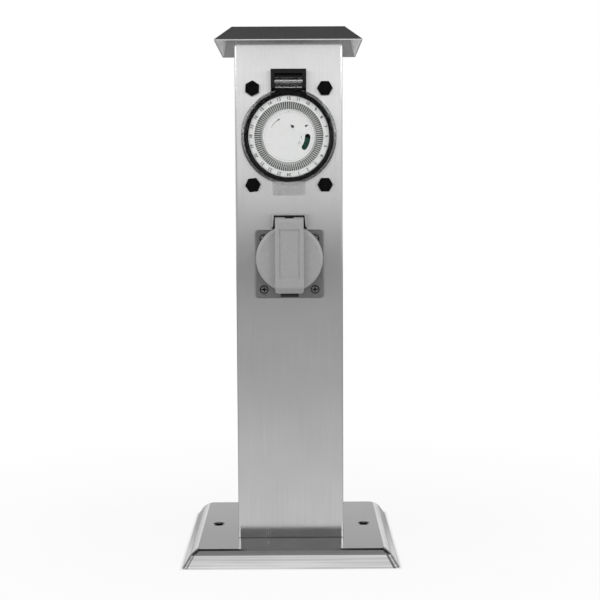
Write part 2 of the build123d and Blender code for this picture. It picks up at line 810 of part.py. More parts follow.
# Well floor with its contact holes, key ribs and slots for the earth springs
floor_front = well_front - well_depth
floor_back = floor_front - 3.0
with BuildPart() as socket_insert:
    with BuildSketch(front_plane(floor_front, well_z)):
        Circle(well_radius - 0.05)
        with GridLocations(contact_pitch, 0, 2, 1):
            Circle(contact_hole_radius, mode=Mode.SUBTRACT)
        with Locations((0, 18.2), (0, -18.2)):
            Rectangle(4.8, 2.8, mode=Mode.SUBTRACT)
    extrude(amount=floor_back - floor_front)
    chamfer(
        socket_insert.faces().sort_by(Axis.Y)[0].edges().filter_by(GeomType.CIRCLE).sort_by(SortBy.RADIUS)[:2],
        length=0.5,
    )
    with BuildSketch(front_plane(floor_front, well_z)):
        Circle(well_radius - 0.05)
        Circle(17.4, mode=Mode.SUBTRACT)
        Rectangle(50, 5.4, mode=Mode.INTERSECT)
    extrude(amount=well_depth - 3)
keep(socket_insert, "socket_insert")

# Earth contact: one bent strip with a sprung arm at the top and the bottom of the well
strip_half = 2.0
strip = 0.7
bridge_front = floor_back - 0.4
with BuildPart() as earth_contact:
    with BuildSketch(Plane.YZ.offset(-strip_half)):
        for side in (-1, 1):
            with BuildLine():
                Polyline(
                    *[(-depth, well_z + side * reach) for depth, reach in [
                        (bridge_front - strip, 0), (bridge_front - strip, 18.9), (34, 19.0),
                        (39.5, 17.6), (45.5, 19.2), (45.5, 18.4), (39.5, 16.8), (34, 18.2),
                        (bridge_front, 18.1), (bridge_front, 0),
                    ]],
                    close=True,
                )
            make_face()
    extrude(amount=2 * strip_half)
    with BuildSketch(front_plane(bridge_front - strip, well_z)):
        Rectangle(4.0, strip)
    extrude(amount=-20)
keep(earth_contact, "earth_contact")

# Live contacts: split sleeves for the pins, each with a terminal block behind
carrier_back = 13.0
block_half = 3.4
block_back = 5.0
contact_names = {-1: "neutral_contact", 1: "line_contact"}
for side, contact_name in contact_names.items():
    with BuildPart() as contact:
        with BuildSketch(front_plane(floor_back - 0.3, well_z)):
            with Locations((side * contact_pitch / 2, 0)):
                Circle(3.1)
                Circle(2.4, mode=Mode.SUBTRACT)
                Rectangle(0.9, 8, mode=Mode.SUBTRACT)
        extrude(amount=carrier_back - floor_back + 0.3)
        with BuildSketch(front_plane(carrier_back, well_z)):
            with Locations((side * contact_pitch / 2, 0)):
                Rectangle(2 * block_half, 2 * block_half)
        extrude(amount=block_back - carrier_back)
        with BuildSketch(front_plane(block_back, well_z)):
            with Locations((side * contact_pitch / 2, 0)):
                Circle(1.6)
        extrude(amount=5, mode=Mode.SUBTRACT)
    keep(contact, contact_name)

with BuildPart() as contact_carrier:
    with BuildSketch(front_plane(25.2, well_z)):
        Circle(well_radius - 0.05)
        with GridLocations(contact_pitch, 0, 2, 1):
            Circle(3.3, mode=Mode.SUBTRACT)
        Rectangle(4.4, 1.1, mode=Mode.SUBTRACT)
    extrude(amount=carrier_back - 25.2)
    fillet(contact_carrier.faces().sort_by(Axis.Y)[-1].edges().sort_by(Edge.length)[-1], radius=1.0)
keep(contact_carrier, "contact_carrier")

with BuildPart() as contact_screws:
    with BuildSketch(front_plane(block_back, well_z)):
        with GridLocations(contact_pitch, 0, 2, 1):
            Circle(2.9)
            Rectangle(7, 0.8, mode=Mode.SUBTRACT)
    extrude(amount=-1.0)
    with BuildSketch(front_plane(block_back, well_z)):
        with GridLocations(contact_pitch, 0, 2, 1):
            Circle(2.9)
    extrude(amount=-0.4)
    with BuildSketch(front_plane(block_back, well_z)):
        with GridLocations(contact_pitch, 0, 2, 1):
            Circle(1.5)
    extrude(amount=4.5)
keep(contact_screws, "contact_screws")

# Cross recessed screws in the flange and their nuts behind the wall
screw_head = 1.4
with BuildPart() as socket_screws:
    with BuildSketch(front_plane(screw_seat, socket_z)):
        with GridLocations(screw_pitch, screw_pitch, 2, 2):
            Circle(2.9)
    extrude(amount=screw_head, taper=22)
    with BuildSketch(front_plane(screw_seat, socket_z)):
        with GridLocations(screw_pitch, screw_pitch, 2, 2):
            Circle(1.6)
    extrude(amount=-10)
    with BuildSketch(front_plane(screw_seat + screw_head, socket_z)):
        with GridLocations(screw_pitch, screw_pitch, 2, 2):
            Rectangle(3.8, 1.1)
            Rectangle(1.1, 3.8)
    extrude(amount=-1.2, mode=Mode.SUBTRACT)
keep(socket_screws, "socket_screws")

with BuildPart() as socket_nuts:
    with BuildSketch(front_plane(wall_back, socket_z)):
        with GridLocations(screw_pitch, screw_pitch, 2, 2):
            RegularPolygon(3.2, 6)
            Circle(1.65, mode=Mode.SUBTRACT)
    extrude(amount=-2.4)
keep(socket_nuts, "socket_nuts")

# Socket lid: round shell with a raised band that carries the knuckle and a bare label panel
lid_back = 45.5
lid_inner = lid_front - lid_sheet
band_half = band_width / 2
band_corner = 2.0
panel_width = 15.3
panel_low_z = 211.0
panel_high_z = 247.0
with BuildPart() as socket_lid:
    with BuildSketch(Plane.YZ):
        with BuildLine():
            Polyline(
                *turned(lid_z, [
                    (lid_back, lid_radius), (lid_front - 1.9, lid_radius),
                    (lid_front - 1.2, lid_radius - 0.3), (lid_front - 0.5, lid_radius - 0.9),
                    (lid_front, lid_radius - 2.0),
                    (lid_front + 0.3, 0), (lid_inner, 0), (lid_inner, lid_radius - 1.4),
                    (lid_back, lid_radius - 1.4),
                ]),
                close=True,
            )
        make_face()
    revolve(axis=lid_axis)
    with BuildSketch(front_plane(lid_inner, 0)):
        with Locations((0, 246)):
            Rectangle(2 * pocket_half, 16)
    extrude(amount=-10, mode=Mode.SUBTRACT)
    with BuildSketch(Plane.YZ.offset(-band_half)):
        with BuildLine():
            Polyline(
                (-lid_inner, band_bottom_z + 1.0), (-lid_inner - 1.2, band_bottom_z),
                (-lid_inner - 2.4, band_bottom_z), (-band_front + 0.3, band_bottom_z + 3.8),
                (-band_front, band_bottom_z + 4.8), (-band_front, lid_pin_z), (-lid_pin_depth, lid_pin_z),
                (-lid_inner + 1.0, lid_pin_z - 4.0), (-lid_inner, lid_pin_z - 6.0), close=True,
            )
        make_face()
        with Locations((-lid_pin_depth, lid_pin_z)):
            Circle(knuckle_radius)
    extrude(amount=band_width)
    with BuildSketch(front_plane(lid_inner)):
        with Locations((0, band_bottom_z)):
            Rectangle(band_width + 1, 2 * band_corner)
        with Locations((0, (band_bottom_z + lid_pin_z) / 2)):
            RectangleRounded(band_width, lid_pin_z - band_bottom_z, band_corner, mode=Mode.SUBTRACT)
    extrude(amount=band_front - lid_inner + 1, mode=Mode.SUBTRACT)
    with BuildSketch(front_plane(band_front, (panel_low_z + panel_high_z) / 2)):
        RectangleRounded(panel_width, panel_high_z - panel_low_z, 0.5)
    extrude(amount=-0.7, mode=Mode.SUBTRACT)
    with BuildSketch(front_plane(lid_inner - 2, 0)):
        with Locations((0, lid_pin_z)):
            Rectangle(6.8, 2 * knuckle_radius + 1)
    extrude(amount=lid_pin_depth + 2.8 - lid_inner + 2, mode=Mode.SUBTRACT)
    with BuildSketch(front_plane(lid_pin_depth - knuckle_radius - 1, 0)):
        with Locations((0, lid_pin_z)):
            Rectangle(6.8, 2 * knuckle_radius + 1)
    extrude(amount=knuckle_radius + 1, mode=Mode.SUBTRACT)
    with BuildSketch(Plane.YZ.offset(-band_half)):
        with Locations((-lid_pin_depth, lid_pin_z)):
            Circle(1.1 + running_gap)
    extrude(amount=band_width, mode=Mode.SUBTRACT)
keep(socket_lid, "socket_lid")

# Rubber ring inside the lid, which closes on the collar's rim
with BuildPart() as lid_seal:
    with BuildSketch(front_plane(well_front, well_z)):
        Circle(21.4)
        Circle(18.0, mode=Mode.SUBTRACT)
    extrude(amount=lid_inner - well_front)
keep(lid_seal, "lid_seal")

with BuildPart() as lid_pin:
    with BuildSketch(Plane.YZ.offset(-frame_half_top + 0.1)):
        with Locations((-lid_pin_depth, lid_pin_z)):
            Circle(1.1)
    extrude(amount=2 * frame_half_top - 0.2)
keep(lid_pin, "lid_pin")

# Torsion spring wound around the middle of the lid's pin, with a leg that presses on the flange
wire_radius = 0.3
coil_radius = 1.75
coil_turns = 5
coil_length = 4.5
coil_start = (-coil_length / 2, -lid_pin_depth, lid_pin_z)
with BuildPart() as lid_spring:
    with BuildLine():
        coil_line = Helix(coil_length / coil_turns, coil_length, coil_radius, center=coil_start, direction=(1, 0, 0))
    with BuildSketch(Plane(origin=coil_line @ 0, z_dir=coil_line % 0)):
        Circle(wire_radius)
    sweep(path=coil_line)
keep(lid_spring, "lid_spring")
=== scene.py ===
"""Garden socket post: its finishes, the printed dial and the studio around it.

Metres. +Z is up, the front looks along -Y, and the origin is the middle of the base's underside.
"""

import math

import bpy
import numpy as np
from mathutils import Matrix, Vector


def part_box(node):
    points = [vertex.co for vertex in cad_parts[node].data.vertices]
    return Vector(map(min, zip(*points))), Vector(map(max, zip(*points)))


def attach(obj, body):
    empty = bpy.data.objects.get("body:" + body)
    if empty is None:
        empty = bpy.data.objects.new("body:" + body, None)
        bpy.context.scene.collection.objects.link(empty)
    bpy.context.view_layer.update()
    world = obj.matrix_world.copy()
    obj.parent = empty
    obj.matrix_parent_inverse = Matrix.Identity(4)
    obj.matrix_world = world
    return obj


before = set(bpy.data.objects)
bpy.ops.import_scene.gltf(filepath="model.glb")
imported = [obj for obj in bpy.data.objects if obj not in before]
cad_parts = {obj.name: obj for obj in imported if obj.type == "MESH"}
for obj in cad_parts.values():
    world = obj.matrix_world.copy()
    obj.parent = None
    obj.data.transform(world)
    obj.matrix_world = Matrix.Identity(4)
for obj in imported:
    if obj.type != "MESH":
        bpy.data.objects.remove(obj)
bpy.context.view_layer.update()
MM = 0.001

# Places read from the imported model
face_low, face_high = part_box("face_disc")
ring_low, ring_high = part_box("dial_ring")
dial_height = ((face_low + face_high) / 2).z
dial_face_y = ring_low.y
still_face_y = face_low.y
face_radius = (face_high.x - face_low.x) / 2
ring_radius = (ring_high.x - ring_low.x) / 2
foot_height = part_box("column")[0].z
base_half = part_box("base_plate")[1].x
screw_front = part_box("socket_screws")[0].y
frame_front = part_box("socket_housing")[0].y

# Places inside of a part, which its box doesn't give
slots_inside = face_radius + 0.9 * MM
slots_outside = face_radius + 2.4 * MM
groove_inside = face_radius + 2.6 * MM
groove_outside = 25.4 * MM
skirt_top = 8.4 * MM
flange_top = 246.8 * MM
# Pocket behind the hinge frame and the finger notch, painted near-black as shade; the notch's paint reaches
# 1.5 mm below the notch in the solid
pocket_half = 12.3 * MM
pocket_narrowing = 0.079
notch_middle = 198.9 * MM
notch_half_height = 2.5 * MM
notch_half = 6.7 * MM
rim_depth = 0.4 * MM
seam_height = 0.7 * MM

# Width over which a tone's edge is drawn
edge_blend = 0.1 * MM

# Printing on the dial
tappet_count = 96
hour_count = 24
hour_at_top = 12
hour_radius = ring_radius - 2.1 * MM
hour_height = 2.3 * MM
ink_gap = 0.03 * MM

# Dark slots, painted as shade, and dark crowns: how far each reaches to both sides of its tappet's middle, as
# a share of the pitch
slot_share = 0.24
crown_share = 0.23


def grey(level):
    """A neutral colour."""
    return (level, level, level)


# Colours that several finishes share
steel_dark = grey(0.53)
steel_light = grey(0.60)
housing_dark = grey(0.125)
housing_light = grey(0.150)
paint_white = (0.84, 0.84, 0.83)
paint_fleck = (0.80, 0.80, 0.79)
# Whiter paint in the groove and on the tappets' flanks: painted light on their shaded floor and sides
bright_white = (0.95, 0.95, 0.94)
dust_colour = (0.55, 0.54, 0.52)
# Near-black of the painted shade in the hinge pocket and the finger notch
painted_shade_black = grey(0.006)


def feed(tree, node, inputs):
    """Feed a node's inputs by sockets or with plain values."""
    for name, value in inputs.items():
        if isinstance(value, bpy.types.NodeSocket):
            tree.links.new(value, node.inputs[name])
        else:
            node.inputs[name].default_value = value


def add_node(tree, kind, inputs, **settings):
    """Add a node with its fields set and its inputs fed."""
    made = tree.nodes.new(kind)
    for field, value in settings.items():
        setattr(made, field, value)
    feed(tree, made, inputs)
    return made


def maths(tree, operation, first, second=0.0, clamp=False):
    """Output of a Math node on one or two values."""
    values = {0: first, 1: second}
    return add_node(tree, "ShaderNodeMath", values, operation=operation, use_clamp=clamp).outputs[0]


def product(tree, first, second):
    """One value times another."""
    return maths(tree, "MULTIPLY", first, second)


def vector_maths(tree, operation, first, second=(0.0, 0.0, 0.0)):
    """Output of a Vector Math node: a number for a dot product or a length, else a vector."""
    made = add_node(tree, "ShaderNodeVectorMath", {0: first, 1: second}, operation=operation)
    return made.outputs["Value" if operation in ("DOT_PRODUCT", "LENGTH") else "Vector"]


def along_axis(tree, vector, axis):
    """A vector's X, Y or Z."""
    return add_node(tree, "ShaderNodeSeparateXYZ", {0: vector}).outputs[axis]


def true_normal(tree):
    """Normal of the surface, before any bump."""
    return tree.nodes.new("ShaderNodeNewGeometry").outputs["Normal"]


def spread(tree, value, low, high, bottom=0.0, top=1.0):
    """The value stretched from low..high to bottom..top and held inside it."""
    values = {"Value": value, "From Min": low, "From Max": high, "To Min": bottom, "To Max": top}
    return add_node(tree, "ShaderNodeMapRange", values).outputs["Result"]


def past(tree, value, limit, blend):
    """Mask of the values past a limit, which comes in over the blend after it."""
    return spread(tree, value, limit, limit + blend)


def short_of(tree, value, limit, blend):
    """Mask of the values up to a limit, which goes out over the blend after it."""
    return spread(tree, value, limit, limit + blend, 1.0, 0.0)


def between(tree, value, low, high, blend):
    """Mask of the values from low to high."""
    return product(tree, past(tree, value, low, blend), short_of(tree, value, high, blend))


def blended(tree, share, first, second):
    """Blend of two values, the second one's share going from 0 to 1."""
    kept = product(tree, first, maths(tree, "SUBTRACT", 1.0, share))
    return maths(tree, "ADD", kept, product(tree, second, share))


def mixed(tree, share, first, second):
    """Blend of two colours, the second one's share going from 0 to 1."""
    made = add_node(tree, "ShaderNodeMix", {"Factor": share}, data_type="RGBA")
    for name, value in (("A", first), ("B", second)):
        socket = next(s for s in made.inputs if s.name == name and s.type == "RGBA")
        if isinstance(value, bpy.types.NodeSocket):
            tree.links.new(value, socket)
        else:
            socket.default_value = (*value, 1.0)
    return next(s for s in made.outputs if s.type == "RGBA")


def graded(tree, value, stops):
    """Grey that follows a value from 0 to 1 through stops of (value, level), given from 0 to 1."""
    ramp = add_node(tree, "ShaderNodeValToRGB", {"Fac": value})
    elements = ramp.color_ramp.elements
    for position, level in stops[1:-1]:
        elements.new(position).color = (*grey(level), 1.0)
    for element, level in ((elements[0], stops[0][1]), (elements[-1], stops[-1][1])):
        element.color = (*grey(level), 1.0)
    return ramp.outputs["Color"]


def noise(tree, place, scale, detail=2.0, roughness=0.5, distortion=0.0):
    """Height of a cloudy noise, from 0 to 1."""
    values = {
        "Vector": place, "Scale": scale, "Detail": detail, "Roughness": roughness, "Distortion": distortion,
    }
    return add_node(tree, "ShaderNodeTexNoise", values).outputs["Fac"]


def new_effect(name, takes, gives):
    """A shader node group with its inputs (name, kind, value) and outputs (name, kind)."""
    tree = bpy.data.node_groups.new(name, "ShaderNodeTree")
    for label, kind, value in takes:
        tree.interface.new_socket(label, in_out="INPUT", socket_type=kind).default_value = value
    for label, kind in gives:
        tree.interface.new_socket(label, in_out="OUTPUT", socket_type=kind)
    return tree, tree.nodes.new("NodeGroupInput"), tree.nodes.new("NodeGroupOutput")


def effect(tree, group, inputs):
    """Outputs of the group placed in a material with its own values."""
    made = tree.nodes.new("ShaderNodeGroup")
    made.node_tree = group
    feed(tree, made, inputs)
    return made.outputs


def make_brushed_grain():
    """Streaks of a brushed sheet: noise stretched by Lines, the lines per metre on each axis."""
    tree, start, end = new_effect(
        "brushed_grain",
        [("Place", "NodeSocketVector", (0, 0, 0)), ("Lines", "NodeSocketVector", (3000, 3000, 20))],
        [("Shade", "NodeSocketFloat"), ("Height", "NodeSocketFloat")],
    )
    place = start.outputs["Place"]
    fine_place = vector_maths(tree, "MULTIPLY", place, start.outputs["Lines"])
    fine = noise(tree, fine_place, 1.0, detail=3.0, roughness=0.65)
    cloud = noise(tree, place, 22.0, detail=2.0)
    both = maths(tree, "ADD", product(tree, fine, 0.6), product(tree, cloud, 0.4))
    feed(tree, end, {"Shade": spread(tree, both, 0.34, 0.66), "Height": fine})
    return tree


def make_handling_marks():
    """Faint cloudy smears left by hands and cloths, each about Size metres across."""
    tree, start, end = new_effect(
        "handling_marks",
        [("Place", "NodeSocketVector", (0, 0, 0)), ("Size", "NodeSocketFloat", 0.04)],
        [("Mask", "NodeSocketFloat")],
    )
    scale = maths(tree, "DIVIDE", 1.0, start.outputs["Size"])
    cloud = noise(tree, start.outputs["Place"], scale, detail=4.0, roughness=0.6, distortion=0.6)
    feed(tree, end, {"Mask": spread(tree, cloud, 0.45, 0.75)})
    return tree


def make_worn_edges():
    """Mask of the outer edges within Radius metres, broken up by a fine noise, for paler edges that are
    partly wear and partly painted highlight.
    """
    tree, start, end = new_effect(
        "edge_wear_and_highlight",
        [("Place", "NodeSocketVector", (0, 0, 0)), ("Radius", "NodeSocketFloat", 0.0005)],
        [("Edge", "NodeSocketFloat")],
    )
    soft = add_node(tree, "ShaderNodeBevel", {"Radius": start.outputs["Radius"]}, samples=4)
    same = vector_maths(tree, "DOT_PRODUCT", soft.outputs["Normal"], true_normal(tree))
    bend = maths(tree, "SUBTRACT", 1.0, same)
    breaks = spread(tree, noise(tree, start.outputs["Place"], 900.0, detail=3.0), 0.3, 0.6, 0.35, 1.0)
    feed(tree, end, {"Edge": product(tree, spread(tree, bend, 0.01, 0.2), breaks)})
    return tree


def make_moulded_grain():
    """Fine eroded texture of a mould, Grain grains per metre, and the flecks in its colour."""
    tree, start, end = new_effect(
        "moulded_grain",
        [("Place", "NodeSocketVector", (0, 0, 0)), ("Grain", "NodeSocketFloat", 3000.0)],
        [("Height", "NodeSocketFloat"), ("Fleck", "NodeSocketFloat")],
    )
    place = start.outputs["Place"]
    grain = noise(tree, place, start.outputs["Grain"], detail=2.0, roughness=0.7)
    flecks = noise(tree, place, product(tree, start.outputs["Grain"], 0.21), detail=3.0)
    feed(tree, end, {"Height": grain, "Fleck": spread(tree, flecks, 0.35, 0.65)})
    return tree


def make_settled_dust():
    """Thin dust on faces that look up, in small clouds."""
    tree, start, end = new_effect(
        "settled_dust", [("Place", "NodeSocketVector", (0, 0, 0))], [("Mask", "NodeSocketFloat")]
    )
    upward = spread(tree, along_axis(tree, true_normal(tree), "Z"), 0.4, 1.0)
    clouds = spread(tree, noise(tree, start.outputs["Place"], 160.0, detail=6.0, roughness=0.7), 0.4, 0.8)
    feed(tree, end, {"Mask": product(tree, upward, clouds)})
    return tree


brushed_grain = make_brushed_grain()
handling_marks = make_handling_marks()
edge_wear_and_highlight = make_worn_edges()
moulded_grain = make_moulded_grain()
settled_dust = make_settled_dust()


def new_finish(name):
    """A material with a plain shader: the material, its tree, its shader and the place in metres."""
    material = bpy.data.materials.new(name)
    material.use_nodes = True
    tree = material.node_tree
    tree.nodes.clear()
    shader = tree.nodes.new("ShaderNodeBsdfPrincipled")
    add_node(tree, "ShaderNodeOutputMaterial", {"Surface": shader.outputs["BSDF"]})
    place = tree.nodes.new("ShaderNodeTexCoord").outputs["Object"]
    return material, tree, shader, place


def share_surface(tree, share, first, second):
    """Show a mix of two shaders as the material's surface."""
    mix = add_node(tree, "ShaderNodeMixShader", {0: share, 1: first, 2: second})
    output = next(n for n in tree.nodes if n.bl_idname == "ShaderNodeOutputMaterial")
    feed(tree, output, {"Surface": mix.outputs["Shader"]})


def bump(tree, height, depth, strength):
    """Normal of a surface whose height goes up to depth metres."""
    values = {"Height": height, "Distance": depth, "Strength": strength}
    return add_node(tree, "ShaderNodeBump", values).outputs["Normal"]


def screw_recess_tone(tree, place, plate):
    """Painted shade: dark floor and sides of the cross behind the plane of the heads."""
    recessed = past(tree, along_axis(tree, place, "Y"), screw_front + edge_blend, edge_blend)
    return mixed(tree, recessed, plate, grey(0.01))


def skirt_tone(tree, place, sheet):
    """Darker streaks drawn along the leaning skirt."""
    on_skirt = short_of(tree, along_axis(tree, place, "Z"), skirt_top, 2 * edge_blend)
    drawn = vector_maths(tree, "MULTIPLY", place, (9.0, 9.0, 900.0))
    streak = spread(tree, noise(tree, drawn, 1.0, detail=2.0), 0.4, 0.65, 0.0, 0.35)
    return mixed(tree, product(tree, on_skirt, streak), sheet, grey(0.12))


def hinge_frame_tone(tree, place, body):
    """Pale front edge of the outlet's hinge frame, and painted shade: the dark pocket behind it and the dark
    finger notch.
    """
    sideways = maths(tree, "ABSOLUTE", along_axis(tree, place, "X"))
    height = along_axis(tree, place, "Z")
    above = past(tree, height, flange_top - edge_blend, 2 * edge_blend)
    narrowed = product(tree, maths(tree, "SUBTRACT", height, flange_top), pocket_narrowing)
    in_pocket = short_of(tree, maths(tree, "ADD", sideways, narrowed), pocket_half, 2 * edge_blend)
    off_notch = maths(tree, "ABSOLUTE", maths(tree, "SUBTRACT", height, notch_middle))
    in_notch = product(tree, short_of(tree, off_notch, notch_half_height, edge_blend),
                       short_of(tree, sideways, notch_half, edge_blend))
    at_front = short_of(tree, along_axis(tree, place, "Y"), frame_front + rim_depth, 2 * rim_depth)
    # Painted shade: the pocket behind the frame and the finger notch in near-black
    with_painted_shade = mixed(tree, product(tree, above, in_pocket), body, painted_shade_black)
    with_painted_shade = mixed(tree, in_notch, with_painted_shade, painted_shade_black)
    return mixed(tree, product(tree, above, at_front), with_painted_shade, grey(0.34))


def brushed_steel(name, dark, light, smooth, rough, lines, side_lines=None, stretch=0.0, seam=None,
                  tone=None):
    """Stainless sheet with brushed lines, which turn to side_lines on faces that look along X.

    Stretch draws its reflections out level, across upright lines, and a dark seam runs at the height seam.
    """
    material, tree, shader, place = new_finish(name)
    grain = effect(tree, brushed_grain, {"Place": place, "Lines": lines})
    shade, height = grain["Shade"], grain["Height"]
    if side_lines:
        side_grain = effect(tree, brushed_grain, {"Place": place, "Lines": side_lines})
        sideways = maths(tree, "ABSOLUTE", along_axis(tree, true_normal(tree), "X"))
        on_side = maths(tree, "GREATER_THAN", sideways, 0.5)
        shade = blended(tree, on_side, shade, side_grain["Shade"])
        height = blended(tree, on_side, height, side_grain["Height"])
    marks = effect(tree, handling_marks, {"Place": place, "Size": 0.035})["Mask"]
    edge = effect(tree, edge_wear_and_highlight, {"Place": place, "Radius": 0.4 * MM})["Edge"]
    # Paler edges: partly wear, partly painted highlight
    colour = mixed(tree, product(tree, edge, 0.3), mixed(tree, shade, dark, light), grey(0.80))
    if seam:
        at_seam = spread(tree, along_axis(tree, place, "Z"), seam, seam + seam_height, 0.8, 0.0)
        colour = mixed(tree, at_seam, colour, grey(0.05))
    if tone:
        colour = tone(tree, place, colour)
    roughness = maths(tree, "ADD", spread(tree, shade, 0.0, 1.0, rough, smooth), product(tree, marks, 0.02))
    normal = bump(tree, height, 0.004 * MM, 0.3)
    feed(tree, shader, {"Base Color": colour, "Roughness": roughness, "Metallic": 1.0, "Normal": normal})
    if stretch:
        level = add_node(tree, "ShaderNodeTangent", {}, direction_type="RADIAL", axis="Z").outputs["Tangent"]
        feed(tree, shader, {"Anisotropic": stretch, "Tangent": level})
    return material


def plated(name, dark, light, rough, tone=None):
    """Bright plated small parts, a little cloudy and paler at their edges, partly rubbed and partly a painted
    highlight.
    """
    material, tree, shader, place = new_finish(name)
    cloud = noise(tree, place, 420.0, detail=4.0, roughness=0.6)
    edge = effect(tree, edge_wear_and_highlight, {"Place": place, "Radius": 0.25 * MM})["Edge"]
    plate = mixed(tree, spread(tree, cloud, 0.35, 0.7), light, dark)
    colour = mixed(tree, product(tree, edge, 0.6), plate, light)
    if tone:
        colour = tone(tree, place, colour)
    roughness = spread(tree, cloud, 0.3, 0.7, rough, rough + 0.14)
    feed(tree, shader, {"Base Color": colour, "Roughness": roughness, "Metallic": 1.0})
    return material


def moulded(name, colour, fleck_colour, rough, grain, depth, edge_wear_and_highlight_colour=None, shine=0.5, tone=None):
    """Moulded plastic with an eroded grain depth metres deep, flecks, paler edges that are partly wear and
    partly painted highlight, and a little dust.
    """
    material, tree, shader, place = new_finish(name)
    grained = effect(tree, moulded_grain, {"Place": place, "Grain": grain})
    marks = effect(tree, handling_marks, {"Place": place, "Size": 0.02})["Mask"]
    body = mixed(tree, product(tree, grained["Fleck"], 0.7), colour, fleck_colour)
    if edge_wear_and_highlight_colour:
        edge = effect(tree, edge_wear_and_highlight, {"Place": place, "Radius": 0.35 * MM})["Edge"]
        body = mixed(tree, product(tree, edge, 0.55), body, edge_wear_and_highlight_colour)
    dust = effect(tree, settled_dust, {"Place": place})["Mask"]
    body = mixed(tree, product(tree, dust, 0.06), body, dust_colour)
    if tone:
        body = tone(tree, place, body)
    handled = spread(tree, marks, 0.0, 1.0, rough + 0.04, rough - 0.03)
    feed(tree, shader, {
        "Base Color": body,
        "Roughness": maths(tree, "ADD", handled, product(tree, dust, 0.2)),
        "Normal": bump(tree, grained["Height"], depth, 0.5),
        "Specular IOR Level": shine,
    })
    return material


def round_the_dial(tree, place):
    """Distance from the dial's middle and how far off the middle of its tappet a place is, from 0 to 0.5."""
    across = along_axis(tree, place, "X")
    above = maths(tree, "SUBTRACT", along_axis(tree, place, "Z"), dial_height)
    squares = maths(tree, "ADD", maths(tree, "POWER", across, 2.0), maths(tree, "POWER", above, 2.0))
    pitch = math.radians(360.0 / tappet_count)
    pitches = maths(tree, "DIVIDE", maths(tree, "ARCTAN2", across, above), pitch)
    off_middle = maths(tree, "ABSOLUTE", maths(tree, "SUBTRACT", maths(tree, "FRACT", pitches), 0.5))
    return maths(tree, "SQRT", squares), off_middle


def make_dial_white():
    """Satin white of the dial, painted brighter in the groove behind the tappets against their shade, with
    dark slots inside of them in painted shade.
    """
    material, tree, shader, place = new_finish("dial_white")
    grained = effect(tree, moulded_grain, {"Place": place, "Grain": 2600.0})
    radius, off_middle = round_the_dial(tree, place)
    white = mixed(tree, product(tree, grained["Fleck"], 0.5), paint_white, paint_fleck)
    # Painted light: the groove's floor whiter, against the shade of the tappets over it
    white = mixed(tree, between(tree, radius, groove_inside, groove_outside, edge_blend), white, bright_white)
    # Painted shade: dark slots along the groove's inner edge
    slot = product(tree, short_of(tree, off_middle, slot_share, 0.08),
                   between(tree, radius, slots_inside, slots_outside, 2 * edge_blend))
    feed(tree, shader, {
        "Base Color": mixed(tree, product(tree, slot, 0.95), white, (0.010, 0.016, 0.014)),
        "Roughness": 0.42,
        "Normal": bump(tree, grained["Height"], 0.004 * MM, 0.5),
    })
    return material


def make_tappet_plastic():
    """Tappets green black along the middle of their crowns, and white beside it and down their flanks; the
    flanks' white is painted light in the shaded gaps between them.
    """
    material, tree, shader, place = new_finish("tappet_plastic")
    grained = effect(tree, moulded_grain, {"Place": place, "Grain": 2400.0})
    dark = mixed(tree, grained["Fleck"], (0.004, 0.010, 0.009), (0.008, 0.018, 0.015))
    still_crown = -0.6
    # Painted light: the flanks white, to brighten the shaded gaps between the tappets
    flank = past(tree, along_axis(tree, true_normal(tree), "Y"), still_crown, 0.3)
    beside = past(tree, round_the_dial(tree, place)[1], crown_share, 0.02)
    colour = mixed(tree, maths(tree, "MAXIMUM", flank, beside), dark, bright_white)
    feed(tree, shader, {"Base Color": colour, "Roughness": 0.4, "Specular IOR Level": 0.2})
    return material


def make_clear_cover():
    """Clear moulded cover with fine rubbing marks, which lets the lamps' light through to the dial."""
    material, tree, shader, place = new_finish("clear_cover")
    rubbing = noise(tree, place, 300.0, detail=5.0, roughness=0.7, distortion=1.5)
    haze = effect(tree, handling_marks, {"Place": place, "Size": 0.03})["Mask"]
    feed(tree, shader, {
        "Base Color": mixed(tree, haze, grey(0.99), (0.96, 0.97, 0.97)),
        "Roughness": spread(tree, rubbing, 0.62, 0.80, 0.0, 0.015),
        "Transmission Weight": 1.0,
        "IOR": 1.5,
    })
    through = add_node(tree, "ShaderNodeBsdfTransparent", {"Color": (0.93, 0.94, 0.94, 1.0)})
    shadow_ray = tree.nodes.new("ShaderNodeLightPath").outputs["Is Shadow Ray"]
    share_surface(tree, shadow_ray, shader.outputs["BSDF"], through.outputs["BSDF"])
    return material


def make_ink(name, colour):
    """Printed ink, thin in places."""
    material, tree, shader, place = new_finish(name)
    thin = spread(tree, noise(tree, place, 2500.0, detail=3.0), 0.35, 0.75, 0.0, 0.2)
    feed(tree, shader, {
        "Base Color": mixed(tree, thin, colour, (0.45, 0.45, 0.44)),
        "Roughness": spread(tree, thin, 0.0, 0.45, 0.35, 0.5),
    })
    return material


# Brushed lines per metre on X, Y and Z
upright_lines = (3200.0, 3200.0, 16.0)
crosswise_lines = (16.0, 3200.0, 3200.0)
lengthwise_lines = (3200.0, 16.0, 3200.0)

